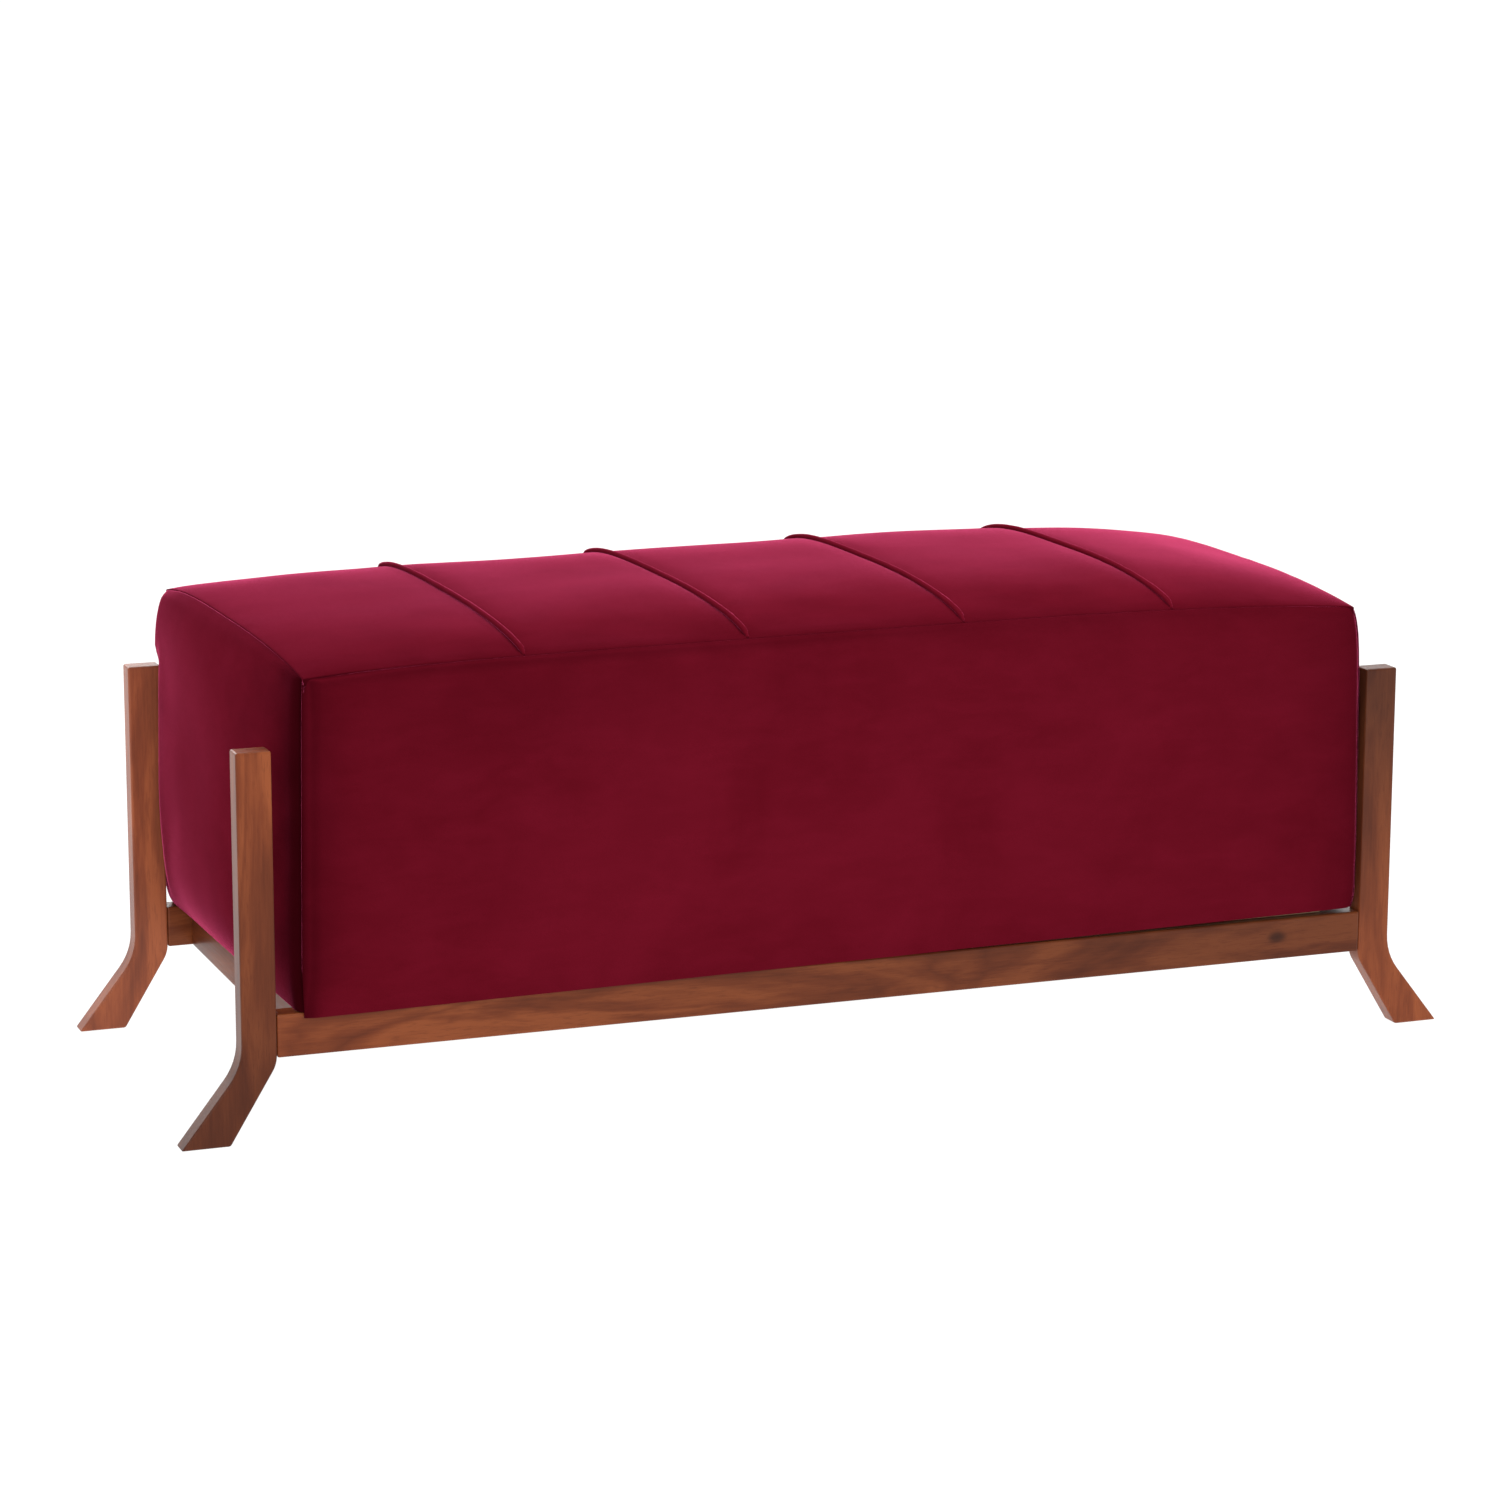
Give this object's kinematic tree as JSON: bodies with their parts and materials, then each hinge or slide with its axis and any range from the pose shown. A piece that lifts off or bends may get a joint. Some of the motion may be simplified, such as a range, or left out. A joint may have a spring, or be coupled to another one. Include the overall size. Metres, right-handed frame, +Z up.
{
  "type": "upholstered bench",
  "caption": "Long rectangular bench seat upholstered in velvet with raised sewn seams, on a low stained wooden frame with straight legs that flare out at the feet.",
  "frame": {"origin": "on the floor, under the middle of the bench", "axes": "+X along the bench to the right as seen from the front, the front at -Y, +Z up"},
  "size_m": [1.248, 0.439, 0.4573],
  "materials": {
    "stained_walnut": "reddish walnut stain under satin varnish",
    "beech": "unfinished beech",
    "plywood": "unfinished plywood",
    "screw_steel": "zinc plated",
    "foam": "open-cell upholstery foam",
    "burgundy_velvet": "short-pile velvet with a soft sheen",
    "dust_cloth": "matt non-woven cloth"
  },
  "bodies": {
    "root": {"leg_front_left": "stained_walnut", "leg_front_right": "stained_walnut", "leg_back_left": "stained_walnut", "leg_back_right": "stained_walnut", "front_rail": "stained_walnut", "back_rail": "stained_walnut", "left_end_rail": "stained_walnut", "right_end_rail": "stained_walnut", "corner_block_front_left": "beech", "corner_block_front_right": "beech", "corner_block_back_left": "beech", "corner_block_back_right": "beech", "leg_dowel_front_left_lower": "beech", "rail_dowel_front_left_lower": "beech", "leg_dowel_front_left_upper": "beech", "rail_dowel_front_left_upper": "beech", "leg_dowel_front_right_lower": "beech", "rail_dowel_front_right_lower": "beech", "leg_dowel_front_right_upper": "beech", "rail_dowel_front_right_upper": "beech", "leg_dowel_back_left_lower": "beech", "rail_dowel_back_left_lower": "beech", "leg_dowel_back_left_upper": "beech", "rail_dowel_back_left_upper": "beech", "leg_dowel_back_right_lower": "beech", "rail_dowel_back_right_lower": "beech", "leg_dowel_back_right_upper": "beech", "rail_dowel_back_right_upper": "beech", "seat_screw_front_left": "screw_steel", "seat_screw_front_right": "screw_steel", "seat_screw_back_left": "screw_steel", "seat_screw_back_right": "screw_steel", "base_board": "plywood", "front_panel": "plywood", "back_panel": "plywood", "left_panel": "plywood", "right_panel": "plywood", "centre_rib": "plywood", "top_deck": "plywood", "top_foam": "foam", "front_foam": "foam", "back_foam": "foam", "left_foam": "foam", "right_foam": "foam", "top_cover_1": "burgundy_velvet", "top_cover_2": "burgundy_velvet", "top_cover_3": "burgundy_velvet", "top_cover_4": "burgundy_velvet", "top_cover_5": "burgundy_velvet", "front_cover": "burgundy_velvet", "back_cover": "burgundy_velvet", "left_cover": "burgundy_velvet", "right_cover": "burgundy_velvet", "welt_1": "burgundy_velvet", "welt_2": "burgundy_velvet", "welt_3": "burgundy_velvet", "welt_4": "burgundy_velvet", "dust_cover": "dust_cloth"}
  },
  "joints": []
}
